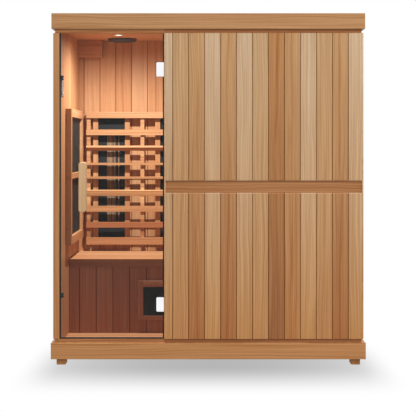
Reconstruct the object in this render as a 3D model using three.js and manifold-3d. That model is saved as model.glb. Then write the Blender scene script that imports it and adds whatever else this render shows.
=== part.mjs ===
// Infrared sauna cabin: a free-standing boarded room with a frameless glass door, a bench and heaters.
// Millimetres, +Z up. X runs across the front, Y runs from the front wall's face (0) to the back.
import * as THREE from 'three';
import { mergeVertices } from 'three/addons/utils/BufferGeometryUtils.js';
import Module from 'manifold-3d';

const wasm = await Module();
wasm.setup();

// Fits
const SEAT = 0.3; // gap between two fixed pieces that lie face to face
const RUNNING = 0.6; // gap beside a piece that moves

// Walls
const WALL_WIDTH = 1720;
const WALL_DEPTH = 1090;
const WALL_HEIGHT = 1696; // boarded height between the two shadow gaps
const CLADDING = 9; // outer boards
const LINING = 30.7; // framed inner panels
const GROOVE_WIDTH = 6; // V joint between boards
const GROOVE_DEPTH = 4;
const OUTER_BOARD = 88.6; // cover width of an outer board
const INNER_BOARD = 100.6; // cover width of an inner board
const CORNER_BOARD = 74; // front board beside the right-hand corner
const BACK_FIRST_BOARD = 31; // back wall board in the corner

// Base
const FOOT_HEIGHT = 34; // below the plinth
const FOOT_SIZE = 54;
const FOOT_INSET = 29; // from the plinth's face
const FOOT_ROUND = 10;
const PLINTH_HEIGHT = 90;
const PLINTH_OVERHANG = 12;
const BASE_GAP = 21; // shadow gap above the plinth
const DECK = 18; // floor thickness
const DECK_DROP = 9; // floor below the plinth's top

// Roof
const ROOF_GAP = 23; // shadow gap below the cornice
const CORNICE_HEIGHT = 86;
const CORNICE_OVERHANG = 9;
const CEILING_RISE = 16; // ceiling above the cornice's lower edge
const CEILING = 12;
const COVER = 9; // roof cover thickness
const COVER_LEDGE = 9; // width of the rebate that carries the cover
const COVER_DROP = 1; // cover below the cornice's top

// Front wall
const JAMB_WIDTH = 34;
const OPENING_WIDTH = 582;
const HINGE_POST_LIP = 8; // strip of the hinge post that shows beside the boards
const MID_RAIL_HEIGHT = 66;
const MID_RAIL_RISE = 810; // lower edge of the rail above the boards' foot
const MID_RAIL_SETBACK = 7; // behind the boards' face
const MID_RAIL_HOUSING = 10; // depth of the rail's channel in the lining
const BOARD_END_CHAMFER = 5;

// Door
const GLASS = 8;
const GLASS_SETBACK = 10; // behind the boards' face
const GLASS_TOP_GAP = 2.5;
const SEAL_WIDTH = 7;
const NOTCH_SEAL = 1; // thin stretch of the seal round a hinge notch
const HINGE_SIDE_GAP = 1.5;

// Hinges
const HINGE_SETBACK = 20; // axis to the hinge post
const HINGE_HEIGHT = 79;
const HINGE_LOW_RISE = 190.5; // centre above the boards' foot
const HINGE_HIGH_DROP = 201.5; // centre below the boards' top
const CLAMP_REACH = 24; // from the axis over the glass
const CLAMP_HALF_DEPTH = 9;
const CLAMP_WEB = 8; // metal between the glass notch and the arm's pocket
const CLAMP_CORNER = 6;
const CLAMP_INSET_WIDTH = 24; // shallow panel in the front plate
const CLAMP_INSET_HEIGHT = 57;
const CLAMP_INSET_DEPTH = 0.8;
const CLAMP_INSET_SHIFT = 1.6; // from the axis towards the glass
const ARM_WIDTH = 8; // fixed arm that carries the pin
const ARM_HEIGHT = 40;
const ARM_RETURN = 7; // thickness of the arm's turn towards the hinge post
const FLANGE = 3;
const FLANGE_FRONT = 12; // behind the axis
const PIN_RADIUS = 2.5;

// Handles
const HANDLE_WIDTH = 39;
const HANDLE_LENGTH = 276;
const HANDLE_THICKNESS = 18;
const HANDLE_CORNER = 13;
const HANDLE_EASE = 5; // rounded edge
const HANDLE_STANDOFF = 28;
const HANDLE_INSET = 129; // centre from the jamb
const HANDLE_RISE = 842; // centre above the boards' foot
const BOLT_SPACING = 200;
const BOLT_RADIUS = 5;
const BOLT_GRIP = 9; // bolt length inside the outer bar
const STANDOFF_RADIUS = 9;

// Catches on the jamb
const CATCH_REACH = 22;
const CATCH_HEIGHT = 27;
const CATCH_DEPTH = 14;
const CATCH_HIGH_DROP = 248;
const CATCH_LOW_RISE = 239;

// Bench
const BENCH_HEIGHT = 435; // above the floor
const BENCH_DEPTH = 623;
const BENCH_THICKNESS = 22;
const BENCH_BOARD = 104;
const BENCH_RAIL_HEIGHT = 24;
const BENCH_RAIL_DEPTH = 32;
const BENCH_RAIL_SETBACK = 3;
const BENCH_PANEL = 16;
const BENCH_PANEL_SETBACK = 13;
const BENCH_PANEL_BOARD = 98.4;
const BENCH_PANEL_FIRST = 62;

// Calf heater under the bench
const CALF_WIDTH = 830;
const CALF_HEIGHT = 231;
const CALF_RISE = 77; // above the floor
const CALF_DEPTH = 14;
const CALF_STILE = 33;
const CALF_TOP_RAIL = 36;
const CALF_BOTTOM_RAIL = 25;
const CALF_PANEL = 7;

// Back heaters, in two pairs
const BACK_HEATER_WIDTH = 233;
const BACK_HEATER_HEIGHT = 828;
const BACK_HEATER_RISE = 46; // above the bench
const BACK_HEATER_DEPTH = 34;
const BACK_HEATER_STILE = 32;
const BACK_HEATER_RAIL = 32;
const EMITTER_PLATE = 16;
const COVER_PLATE = 5;
const COVER_PLATE_HEIGHT = 611;
const COVER_PLATE_RISE = 126; // above the frame's foot
const COVER_PLATE_MARGIN = 6;
const REFLECTOR_WIDTH = 57;
const REFLECTOR_FLUTES = 6; // upright flutes side by side
const REFLECTOR_DEPTH = 4; // bottom of a flute behind the cover plate's face
const REFLECTOR_RIDGE = 1.5; // ridge between flutes behind the same face
const REFLECTOR_MARGIN = 14; // of the cover plate left above and below
const LAMP_SLOT_WIDTH = 8;
const LAMP_SLOT_OFFSET = 45; // from the reflector's middle
const LAMP_SLOT_DEPTH = 5;

// Side heaters
const SIDE_HEATER_WIDTH = 702;
const SIDE_HEATER_HEIGHT = 786;
const SIDE_HEATER_RISE = 94; // above the bench
const SIDE_HEATER_BACK_GAP = 87;
const SIDE_HEATER_DEPTH = 34;
const SIDE_HEATER_STILE = 46;
const SIDE_HEATER_RAIL = 48;
const SIDE_HEATER_MID_RAIL = 33;
const SIDE_HEATER_MID_LIFT = 3; // above the middle of the frame
const SIDE_PANEL = 16;

// Backrests
const UPRIGHT_WIDTH = 24;
const UPRIGHT_GAP = 14.5; // beside a heater
const BACKREST_SIDE_GAP = 50.5; // to the side wall
const BACKREST_MIDDLE_GAP = 62.5; // to the middle of the cabin
const SLAT_WIDTH = 36;
const SLAT_THICKNESS = 14;
const SLAT_STANDOFF = 65; // slat faces from the back wall
const SLAT_HOUSING = 2; // slats let into the uprights
const SLAT_OVERHANG = 2;
const TOP_SLAT_WIDTH = 39;
const FOOT_SLAT_WIDTH = 46;
const TURNED_SLAT_SETBACK = 4; // a turned slat's middle behind the middle of the others
const FOOT_SLAT_RISE = 65; // lowest slat's middle above the bench
const SLAT_PITCH = 100;
const SLATS = [
  // place in pitches above the lowest slat, tilt from upright, width
  { place: 0, tilt: 0, width: FOOT_SLAT_WIDTH },
  { place: 1.02, tilt: 0, width: SLAT_WIDTH },
  { place: 2.03, tilt: 0, width: SLAT_WIDTH },
  { place: 3.03, tilt: 18, width: SLAT_WIDTH },
  { place: 3.99, tilt: 90, width: SLAT_WIDTH },
  { place: 4.86, tilt: 90, width: SLAT_WIDTH },
  { place: 5.85, tilt: 55, width: SLAT_WIDTH },
  { place: 6.85, tilt: 0, width: SLAT_WIDTH },
  { place: 7.94, tilt: 0, width: TOP_SLAT_WIDTH },
];

// Fittings
const WIRING_BOX_WIDTH = 152;
const WIRING_BOX_HEIGHT = 108;
const WIRING_BOX_DEPTH = 85;
const SPEAKER_RADIUS = 90;
const SPEAKER_DROP = 17;
const SPEAKER_RIM = 14;
const SPEAKER_BODY_RADIUS = 72;
const SPEAKER_BODY_HEIGHT = 32;
const LAMP_RADIUS = 27;
const LAMP_DROP = 6;
const LAMP_RIM = 6;
const LAMP_BODY_RADIUS = 20;
const LAMP_BODY_HEIGHT = 34;
const SPEAKER_BACK_GAP = 79; // rim to the back wall
const LAMP_AHEAD = 327; // lamp in front of the speaker

// Keypad on the left wall
const KEYPAD_LENGTH = 95;
const KEYPAD_HEIGHT = 88;
const KEYPAD_FRONT_GAP = 6; // behind the jamb
const KEYPAD_RISE = 1378; // lower edge above the floor
const KEYPAD_BEZEL = 4;
const KEYPAD_BODY = 17;
const KEYPAD_BODY_MARGIN = 8; // bezel beyond the body
const DISPLAY_LENGTH = 66;
const DISPLAY_HEIGHT = 30;
const DISPLAY_RECESS = 1;
const DISPLAY_DROP = 10; // below the bezel's top
const BUTTON_COUNT = 4;
const BUTTON_LENGTH = 13;
const BUTTON_HEIGHT = 10;
const BUTTON_PITCH = 18;
const BUTTON_RISE = 20; // centre above the bezel's foot
const BUTTON_THICKNESS = 7.3;
const BUTTON_PROUD = 1.8;
const BUTTON_TRAVEL = 1.2;
const BUTTON_CORNER = 2.5;

// Power unit in the roof space
const POWER_LENGTH = 300;
const POWER_WIDTH = 180;
const POWER_HEIGHT = 34;
const POWER_X = 400;
const POWER_BACK_GAP = 90;
const INLET_LENGTH = 46;
const INLET_WIDTH = 32;
const INLET_WALL = 4;
const INLET_RECESS = 14;

const ARC_STEPS = 8;
const ROUND_STEPS = 40;
const WELD = 1e-4;

// Heights
const plinthTop = FOOT_HEIGHT + PLINTH_HEIGHT;
const boardFoot = plinthTop + BASE_GAP;
const boardTop = boardFoot + WALL_HEIGHT;
const corniceFoot = boardTop + ROOF_GAP;
const corniceTop = corniceFoot + CORNICE_HEIGHT;
const floorTop = plinthTop - DECK_DROP;
const liningFoot = floorTop + SEAT;
const ceilingFoot = corniceFoot + CEILING_RISE;
const liningTop = ceilingFoot - SEAT;
const ceilingTop = ceilingFoot + CEILING;
const benchTop = floorTop + BENCH_HEIGHT;

// Plan: distances from the middle of the cabin, and depths from the front wall's face
const wallHalf = WALL_WIDTH / 2;
const liningHalf = wallHalf - CLADDING - SEAT;
const roomHalf = liningHalf - LINING;
const liningFront = CLADDING + SEAT;
const roomFront = liningFront + LINING;
const liningBack = WALL_DEPTH - CLADDING - SEAT;
const roomBack = liningBack - LINING;
const openingLeft = -wallHalf + JAMB_WIDTH;
const openingRight = openingLeft + OPENING_WIDTH;
const benchFront = roomBack - BENCH_DEPTH;
const midRailFoot = boardFoot + MID_RAIL_RISE;
const midRailTop = midRailFoot + MID_RAIL_HEIGHT;
const backrestHalf = (roomHalf - BACKREST_SIDE_GAP - BACKREST_MIDDLE_GAP) / 2;
const pairCentre = BACKREST_MIDDLE_GAP + backrestHalf;
const outerUpright = backrestHalf - SLAT_OVERHANG - UPRIGHT_WIDTH / 2; // from the middle of a backrest
const heaterOffset = outerUpright - UPRIGHT_WIDTH / 2 - UPRIGHT_GAP - BACK_HEATER_WIDTH / 2;
const openingMiddle = (openingLeft + openingRight) / 2;
const speakerDepth = roomBack - SPEAKER_BACK_GAP - SPEAKER_RADIUS;
const lampDepth = speakerDepth - LAMP_AHEAD;
const glassFront = GLASS_SETBACK;
const glassBack = GLASS_SETBACK + GLASS;

// Solids from outlines

function shapeOf(points) {
  return new THREE.Shape(points.map(([a, b]) => new THREE.Vector2(a, b)));
}

function extrude(shape, length) {
  return new THREE.ExtrudeGeometry(shape, { depth: length, bevelEnabled: false, curveSegments: ARC_STEPS });
}

// A plan outline (x, y) swept up from z0 to z1.
function sweepUp(shape, z0, z1) {
  return extrude(shape, z1 - z0).translate(0, 0, z0);
}

// A front outline (x, z) swept back from y0 to y1.
function sweepBack(shape, y0, y1) {
  return extrude(shape, y1 - y0).rotateX(Math.PI / 2).translate(0, y1, 0);
}

// An end outline (y, z) swept across from x0 to x1.
function sweepAcross(shape, x0, x1) {
  const turn = new THREE.Matrix4().makeBasis(
    new THREE.Vector3(0, 1, 0),
    new THREE.Vector3(0, 0, 1),
    new THREE.Vector3(1, 0, 0),
  );
  return extrude(shape, x1 - x0).applyMatrix4(turn).translate(x0, 0, 0);
}

function block([x0, x1], [y0, y1], [z0, z1]) {
  return new THREE.BoxGeometry(x1 - x0, y1 - y0, z1 - z0).translate(
    (x0 + x1) / 2,
    (y0 + y1) / 2,
    (z0 + z1) / 2,
  );
}

// A round bar along Y or Z.
function barBack(radius, x, z, y0, y1) {
  return new THREE.CylinderGeometry(radius, radius, y1 - y0, ROUND_STEPS / 2).translate(x, (y0 + y1) / 2, z);
}

function barUp(radius, x, y, z0, z1) {
  return new THREE.CylinderGeometry(radius, radius, z1 - z0, ROUND_STEPS)
    .rotateX(Math.PI / 2)
    .translate(x, y, (z0 + z1) / 2);
}

// A rectangle with rounded corners, centred on the origin. Radii run round from the lower left corner.
function roundedShape(width, height, [lowLeft, lowRight, highRight, highLeft]) {
  const x = width / 2;
  const y = height / 2;
  const quarter = Math.PI / 2;
  const shape = new THREE.Shape();
  shape.moveTo(-x + lowLeft, -y);
  shape.absarc(x - lowRight, -y + lowRight, lowRight, -quarter, 0);
  shape.absarc(x - highRight, y - highRight, highRight, 0, quarter);
  shape.absarc(-x + highLeft, y - highLeft, highLeft, quarter, 2 * quarter);
  shape.absarc(-x + lowLeft, -y + lowLeft, lowLeft, 2 * quarter, 3 * quarter);
  return shape;
}

function solid(geometry) {
  const bare = geometry.clone();
  bare.deleteAttribute('normal');
  bare.deleteAttribute('uv');
  const welded = mergeVertices(bare, WELD);
  const mesh = new wasm.Mesh({
    numProp: 3,
    vertProperties: new Float32Array(welded.attributes.position.array),
    triVerts: new Uint32Array(welded.index.array),
  });
  return new wasm.Manifold(mesh);
}

function geometryOf(body) {
  const mesh = body.getMesh();
  const geometry = new THREE.BufferGeometry();
  geometry.setAttribute('position', new THREE.BufferAttribute(new Float32Array(mesh.vertProperties), 3));
  geometry.setIndex(new THREE.BufferAttribute(new Uint32Array(mesh.triVerts), 1));
  geometry.computeVertexNormals();
  return geometry;
}

function join(...parts) {
  return geometryOf(parts.map(solid).reduce((whole, part) => whole.add(part)));
}

function cut(base, ...tools) {
  return geometryOf(tools.map(solid).reduce((rest, tool) => rest.subtract(tool), solid(base)));
}

function common(a, b) {
  return geometryOf(solid(a).intersect(solid(b)));
}

// Boards

// Joints every `pitch` from `first` towards `limit`, in rising order.
function jointsFrom(first, limit, pitch) {
  const way = Math.sign(limit - first);
  const count = Math.floor((Math.abs(limit - first) - GROOVE_WIDTH) / pitch) + 1;
  const joints = Array.from({ length: count }, (_, index) => first + way * index * pitch);
  return joints.sort((a, b) => a - b);
}

// Section of a run of boards from a to b. Its face has a V groove at each joint, and its back is flat.
function boardPoints(a, b, face, back, joints) {
  const valley = face + Math.sign(back - face) * GROOVE_DEPTH;
  const points = [[a, face]];
  for (const joint of joints) {
    points.push([joint - GROOVE_WIDTH / 2, face]);
    points.push([joint, valley]);
    points.push([joint + GROOVE_WIDTH / 2, face]);
  }
  points.push([b, face], [b, back], [a, back]);
  return points;
}

function swapped(points) {
  return points.map(([a, b]) => [b, a]);
}

// A rectangular frame in an (a, b) plane with an opening set in by the four borders.
function frameShape([a0, a1], [b0, b1], { left, right, foot, top }) {
  const shape = shapeOf([[a0, b0], [a1, b0], [a1, b1], [a0, b1]]);
  const [inner0, inner1] = [a0 + left, a1 - right];
  const [low, high] = [b0 + foot, b1 - top];
  shape.holes.push(shapeOf([[inner0, low], [inner0, high], [inner1, high], [inner1, low]]));
  return shape;
}

// Finishes

function finish(color, roughness, metalness = 0) {
  return () => new THREE.MeshStandardMaterial({ color, roughness, metalness });
}

const outerWood = finish(0xb98a5c, 0.6);
const innerWood = finish(0xd9945c, 0.6);
const railWood = finish(0x9c6a42, 0.6);
const paleWood = finish(0xd8b688, 0.5);
const plywood = finish(0xc8a878, 0.75);
const blackRubber = finish(0x1d2022, 0.7);
const carbon = finish(0x2f3030, 0.65);
const whiteMetal = finish(0xf2f4f5, 0.35, 0.2);
const greyPlastic = finish(0x9b8a80, 0.45);
const darkPlastic = finish(0x26292b, 0.5);
const steel = finish(0xa9adb0, 0.4, 0.8);
const lampWhite = finish(0xf7f2e8, 0.3);

function clearGlass() {
  return new THREE.MeshStandardMaterial({
    color: 0xe8f2ef,
    roughness: 0.05,
    metalness: 0,
    transparent: true,
    opacity: 0.2,
  });
}

const cabin = new THREE.Group();

function piece(name, geometry, material, parent = cabin) {
  const mesh = new THREE.Mesh(geometry, material());
  mesh.name = name;
  parent.add(mesh);
  return mesh;
}

// Base

const plinthHalf = wallHalf + PLINTH_OVERHANG;
const deckHalf = liningHalf;
const plinthFront = -PLINTH_OVERHANG;
const plinthBack = WALL_DEPTH + PLINTH_OVERHANG;
const plinthBoard = plinthHalf - deckHalf - SEAT;

function ring(half, front, back, board, z0, z1) {
  const borders = { left: board, right: board, foot: board, top: board };
  return sweepUp(frameShape([-half, half], [front, back], borders), z0, z1);
}

function addBase() {
  const plinth = ring(plinthHalf, plinthFront, plinthBack, plinthBoard, FOOT_HEIGHT, plinthTop);
  piece('plinth_frame', plinth, outerWood);
  const deckFoot = floorTop - DECK;
  const joints = jointsFrom(roomFront + INNER_BOARD, liningBack, INNER_BOARD);
  const deck = boardPoints(liningFront, liningBack, floorTop, deckFoot, joints);
  piece('floor_deck', sweepAcross(shapeOf(deck), -deckHalf, deckHalf), innerWood);
  const footHeight = deckFoot - SEAT;
  const footOutline = roundedShape(FOOT_SIZE, footHeight, [0, FOOT_ROUND, 0, 0]);
  const reach = plinthHalf - FOOT_INSET - FOOT_SIZE / 2;
  const rows = [
    ['front', plinthFront + FOOT_INSET],
    ['back', plinthBack - FOOT_INSET - FOOT_SIZE],
  ];
  for (const [row, depth] of rows) {
    for (const [hand, side] of [['left', -1], ['right', 1]]) {
      const foot = piece(`foot_${row}_${hand}`, sweepBack(footOutline, 0, FOOT_SIZE), outerWood);
      foot.rotation.z = side > 0 ? Math.PI : 0;
      foot.position.set(side * reach, side > 0 ? depth + FOOT_SIZE : depth, footHeight / 2);
    }
  }
}

// Walls

function addSideWall(hand, side, front) {
  const outerJoints = jointsFrom(WALL_DEPTH - CLADDING - OUTER_BOARD, front, OUTER_BOARD);
  const boards = boardPoints(front, liningBack, side * wallHalf, side * (wallHalf - CLADDING), outerJoints);
  piece(`${hand}_cladding`, sweepUp(shapeOf(swapped(boards)), boardFoot, boardTop), outerWood);
  const start = roomFront + SEAT;
  const innerJoints = jointsFrom(roomBack - INNER_BOARD, start, INNER_BOARD);
  const panel = boardPoints(start, roomBack - SEAT, side * roomHalf, side * liningHalf, innerJoints);
  const lining = sweepUp(shapeOf(swapped(panel)), liningFoot, liningTop);
  return piece(`${hand}_lining`, lining, innerWood);
}

function addBackWall() {
  const outerJoints = jointsFrom(-wallHalf + OUTER_BOARD, wallHalf, OUTER_BOARD);
  const boards = boardPoints(-wallHalf, wallHalf, WALL_DEPTH, WALL_DEPTH - CLADDING, outerJoints);
  piece('back_cladding', sweepUp(shapeOf(boards), boardFoot, boardTop), outerWood);
  const innerJoints = jointsFrom(-roomHalf + BACK_FIRST_BOARD, roomHalf, INNER_BOARD);
  const panel = boardPoints(-liningHalf, liningHalf, roomBack, liningBack, innerJoints);
  piece('back_lining', sweepUp(shapeOf(panel), liningFoot, liningTop), innerWood);
}

function addFrontWall() {
  const boardLeft = openingRight + HINGE_POST_LIP + SEAT;
  const boardRight = wallHalf - CLADDING - SEAT;
  const joints = jointsFrom(boardRight - CORNER_BOARD, boardLeft, OUTER_BOARD);
  const boards = shapeOf(boardPoints(boardLeft, boardRight, 0, CLADDING, joints));
  const chamferAt = (z, way) => {
    const corner = [[-1, z - way], [BOARD_END_CHAMFER, z - way], [-1, z + way * (BOARD_END_CHAMFER + 1)]];
    return sweepAcross(shapeOf(corner), boardLeft - 1, boardRight + 1);
  };
  const upper = cut(sweepUp(boards, midRailTop, boardTop), chamferAt(midRailTop, 1));
  const lower = cut(sweepUp(boards, boardFoot, midRailFoot), chamferAt(midRailFoot, -1));
  piece('front_boards_upper', upper, outerWood);
  piece('front_boards_lower', lower, outerWood);

  const railBack = liningFront + MID_RAIL_HOUSING;
  const rail = block(
    [boardLeft, boardRight],
    [MID_RAIL_SETBACK, railBack - SEAT],
    [midRailFoot + SEAT, midRailTop - SEAT],
  );
  piece('front_mid_rail', rail, railWood);

  const innerJoints = jointsFrom(roomHalf - INNER_BOARD, openingRight, INNER_BOARD);
  const panel = boardPoints(openingRight, liningHalf, roomFront, liningFront, innerJoints);
  const postRun = [openingRight, openingRight + HINGE_POST_LIP];
  const post = block(postRun, [0, liningFront + 1], [boardFoot, boardTop]);
  const channel = block(
    [boardLeft - SEAT, liningHalf + 1],
    [liningFront - 1, railBack],
    [midRailFoot, midRailTop],
  );
  piece('front_lining', cut(join(sweepUp(shapeOf(panel), liningFoot, liningTop), post), channel), innerWood);

  const jamb = block([-wallHalf, openingLeft], [0, roomFront], [boardFoot, boardTop]);
  piece('door_jamb', jamb, outerWood);
  const railRun = [-liningHalf, openingRight - SEAT];
  const railDepth = [liningFront, roomFront];
  piece('sill_rail', block(railRun, railDepth, [liningFoot, boardFoot - SEAT]), outerWood);
  piece('head_rail', block(railRun, railDepth, [boardTop + SEAT, liningTop]), outerWood);
}

// Roof

const powerBack = roomBack - POWER_BACK_GAP;
const powerFront = powerBack - POWER_WIDTH;
const powerY = (powerFront + powerBack) / 2;

function addRoof() {
  const half = wallHalf + CORNICE_OVERHANG;
  const front = -CORNICE_OVERHANG;
  const back = WALL_DEPTH + CORNICE_OVERHANG;
  const board = half - liningHalf - SEAT;
  const ledge = corniceTop - COVER_DROP - COVER - SEAT;
  const rebateHalf = half - board + COVER_LEDGE;
  const rebateFront = front + board - COVER_LEDGE;
  const rebateBack = back - board + COVER_LEDGE;
  const rebate = block([-rebateHalf, rebateHalf], [rebateFront, rebateBack], [ledge, corniceTop + 1]);
  piece('roof_cornice', cut(ring(half, front, back, board, corniceFoot, corniceTop), rebate), outerWood);

  const joints = jointsFrom(roomBack - INNER_BOARD, liningFront, INNER_BOARD);
  const boards = boardPoints(liningFront, liningBack, ceilingFoot, ceilingTop, joints);
  const panel = sweepAcross(shapeOf(boards), -liningHalf, liningHalf);
  const holeAt = (radius, y) => barUp(radius + SEAT, openingMiddle, y, ceilingFoot - 1, ceilingTop + 1);
  const holes = [holeAt(SPEAKER_BODY_RADIUS, speakerDepth), holeAt(LAMP_BODY_RADIUS, lampDepth)];
  piece('ceiling_panel', cut(panel, ...holes), innerWood);

  const sheet = block(
    [-rebateHalf + SEAT, rebateHalf - SEAT],
    [rebateFront + SEAT, rebateBack - SEAT],
    [ledge + SEAT, ledge + SEAT + COVER],
  );
  const inletHole = block(
    [POWER_X - INLET_LENGTH / 2 - SEAT, POWER_X + INLET_LENGTH / 2 + SEAT],
    [powerY - INLET_WIDTH / 2 - SEAT, powerY + INLET_WIDTH / 2 + SEAT],
    [ledge - 1, corniceTop + 1],
  );
  piece('roof_cover', cut(sheet, inletHole), plywood);
  addPowerUnit(ledge + SEAT + COVER);
}

function addPowerUnit(coverTop) {
  const foot = ceilingTop + SEAT;
  const casing = block(
    [POWER_X - POWER_LENGTH / 2, POWER_X + POWER_LENGTH / 2],
    [powerFront, powerBack],
    [foot, foot + POWER_HEIGHT],
  );
  const inletBlock = (margin, z0, z1) => block(
    [POWER_X - INLET_LENGTH / 2 + margin, POWER_X + INLET_LENGTH / 2 - margin],
    [powerY - INLET_WIDTH / 2 + margin, powerY + INLET_WIDTH / 2 - margin],
    [z0, z1],
  );
  const socket = inletBlock(INLET_WALL, coverTop - INLET_RECESS, coverTop + 1);
  const inlet = inletBlock(0, foot + POWER_HEIGHT / 2, coverTop);
  piece('power_unit', cut(join(casing, inlet), socket), darkPlastic);
}

// Door

const hingeX = openingRight - HINGE_SETBACK;
const hingeY = (glassFront + glassBack) / 2;
const hingeHeights = [boardFoot + HINGE_LOW_RISE, boardTop - HINGE_HIGH_DROP];
const clampCore = hingeX - ARM_WIDTH / 2 - RUNNING - CLAMP_WEB; // left face of the clamp's web
const sealLeft = openingLeft + RUNNING;
const sealRight = openingRight - HINGE_SIDE_GAP;
const sealFoot = boardFoot + RUNNING;
const doorTop = boardTop - GLASS_TOP_GAP;
const handleX = openingLeft + HANDLE_INSET;
const handleZ = boardFoot + HANDLE_RISE;
const boltHeights = [handleZ - BOLT_SPACING / 2, handleZ + BOLT_SPACING / 2];

// Right-hand edge of the door from its foot to its top, stepping round the hinge notches.
function hingeEdge(edge, notchEdge, notchHalf) {
  return hingeHeights.flatMap((z) => [
    [edge, z - notchHalf],
    [notchEdge, z - notchHalf],
    [notchEdge, z + notchHalf],
    [edge, z + notchHalf],
  ]);
}

const notchHalf = HINGE_HEIGHT / 2 + SEAT;

function glassOutline() {
  const left = sealLeft + SEAL_WIDTH + SEAT;
  const right = sealRight - SEAL_WIDTH - SEAT;
  const foot = sealFoot + SEAL_WIDTH + SEAT;
  const sealed = NOTCH_SEAL + SEAT;
  const notched = hingeEdge(right, clampCore - SEAT - sealed, notchHalf + sealed);
  return shapeOf([[left, doorTop], [left, foot], [right, foot], ...notched, [right, doorTop]]);
}

function sealOutline() {
  const inside = [
    [sealLeft + SEAL_WIDTH, doorTop],
    [sealLeft + SEAL_WIDTH, sealFoot + SEAL_WIDTH],
    [sealRight - SEAL_WIDTH, sealFoot + SEAL_WIDTH],
    ...hingeEdge(sealRight - SEAL_WIDTH, clampCore - SEAT - NOTCH_SEAL, notchHalf + NOTCH_SEAL),
    [sealRight - SEAL_WIDTH, doorTop],
  ];
  const outside = [
    [sealLeft, doorTop],
    [sealLeft, sealFoot],
    [sealRight, sealFoot],
    ...hingeEdge(sealRight, clampCore - SEAT, notchHalf),
    [sealRight, doorTop],
  ];
  return shapeOf([...outside, ...inside.reverse()]);
}

// Glass clamp: two plates that hold the glass, joined by a web, with a lug above and below the fixed arm.
// The front plate runs on in front of the arm and hides it.
function clampGeometry() {
  const half = HINGE_HEIGHT / 2;
  const nose = HINGE_SETBACK - RUNNING;
  const noseStart = Math.asin(CLAMP_HALF_DEPTH / nose);
  const plan = new THREE.Shape();
  plan.moveTo(-CLAMP_REACH, CLAMP_HALF_DEPTH);
  plan.lineTo(-CLAMP_REACH, -CLAMP_HALF_DEPTH);
  plan.absarc(0, 0, nose, -noseStart, noseStart);
  const face = roundedShape(CLAMP_REACH + nose, HINGE_HEIGHT, [CLAMP_CORNER, 1, 1, CLAMP_CORNER]);
  const faceBody = sweepBack(face, -nose, nose).translate((nose - CLAMP_REACH) / 2, 0, 0);
  const body = common(sweepUp(plan, -half, half), faceBody);
  const slot = block(
    [-CLAMP_REACH - 1, clampCore - hingeX],
    [-GLASS / 2 - SEAT, GLASS / 2 + SEAT],
    [-half - 1, half + 1],
  );
  const pocketHalf = ARM_HEIGHT / 2 + RUNNING;
  const pocketEdge = -ARM_WIDTH / 2 - RUNNING;
  const pocket = block([pocketEdge, nose + 1], [pocketEdge, CLAMP_HALF_DEPTH + 1], [-pocketHalf, pocketHalf]);
  const inset = block(
    [-CLAMP_INSET_SHIFT - CLAMP_INSET_WIDTH / 2, -CLAMP_INSET_SHIFT + CLAMP_INSET_WIDTH / 2],
    [-CLAMP_HALF_DEPTH - 1, -CLAMP_HALF_DEPTH + CLAMP_INSET_DEPTH],
    [-CLAMP_INSET_HEIGHT / 2, CLAMP_INSET_HEIGHT / 2],
  );
  const bore = barUp(PIN_RADIUS + SEAT, 0, 0, -half - 1, half + 1);
  return cut(body, slot, pocket, inset, bore);
}

// Fixed half of a hinge: an arm with the pin at its end, bent round the clamp to a flange on the hinge post.
function bracketGeometry() {
  const wall = HINGE_SETBACK - SEAT;
  const armHalf = ARM_WIDTH / 2;
  const bend = HINGE_SETBACK;
  const reach = bend + ARM_RETURN;
  const plan = new THREE.Shape();
  plan.moveTo(armHalf, 0);
  plan.lineTo(armHalf, bend);
  plan.lineTo(wall - FLANGE, bend);
  plan.lineTo(wall - FLANGE, FLANGE_FRONT);
  plan.lineTo(wall, FLANGE_FRONT);
  plan.lineTo(wall, reach);
  plan.lineTo(-armHalf, reach);
  plan.absarc(0, 0, armHalf, Math.PI, 2 * Math.PI);
  const arm = sweepUp(plan, -ARM_HEIGHT / 2, ARM_HEIGHT / 2);
  return join(arm, barUp(PIN_RADIUS, 0, 0, -HINGE_HEIGHT / 2, HINGE_HEIGHT / 2));
}

// A handle bar with rounded corners and eased edges, its inner face at y = 0 and its outer face in front.
function barGeometry() {
  const width = HANDLE_WIDTH - 2 * HANDLE_EASE;
  const length = HANDLE_LENGTH - 2 * HANDLE_EASE;
  const corner = HANDLE_CORNER - HANDLE_EASE;
  const outline = roundedShape(width, length, [corner, corner, corner, corner]);
  const bar = new THREE.ExtrudeGeometry(outline, {
    depth: HANDLE_THICKNESS - 2 * HANDLE_EASE,
    bevelThickness: HANDLE_EASE,
    bevelSize: HANDLE_EASE,
    bevelSegments: 3,
    curveSegments: 5,
  });
  return bar.rotateX(Math.PI / 2).translate(0, -HANDLE_EASE, 0);
}

function addHandles() {
  const outerFace = glassFront - HANDLE_STANDOFF;
  const innerFace = glassBack + HANDLE_STANDOFF;
  const boltTip = outerFace - BOLT_GRIP;
  const outerBar = barGeometry().translate(handleX, outerFace, handleZ);
  const innerBar = barGeometry().rotateZ(Math.PI).translate(handleX, innerFace, handleZ);
  const pair = (radius, y0, y1) => boltHeights.map((z) => barBack(radius, handleX, z, y0, y1));
  const outerPosts = pair(STANDOFF_RADIUS, outerFace - 1, glassFront - SEAT);
  const sockets = pair(BOLT_RADIUS + SEAT, boltTip - SEAT, glassFront + 1);
  piece('handle_outer', cut(join(outerBar, ...outerPosts), ...sockets), paleWood);
  const innerPosts = pair(STANDOFF_RADIUS, glassBack + SEAT, innerFace + 1);
  const bolts = pair(BOLT_RADIUS, boltTip, innerFace);
  piece('handle_inner', join(innerBar, ...innerPosts, ...bolts), paleWood);
}

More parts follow.
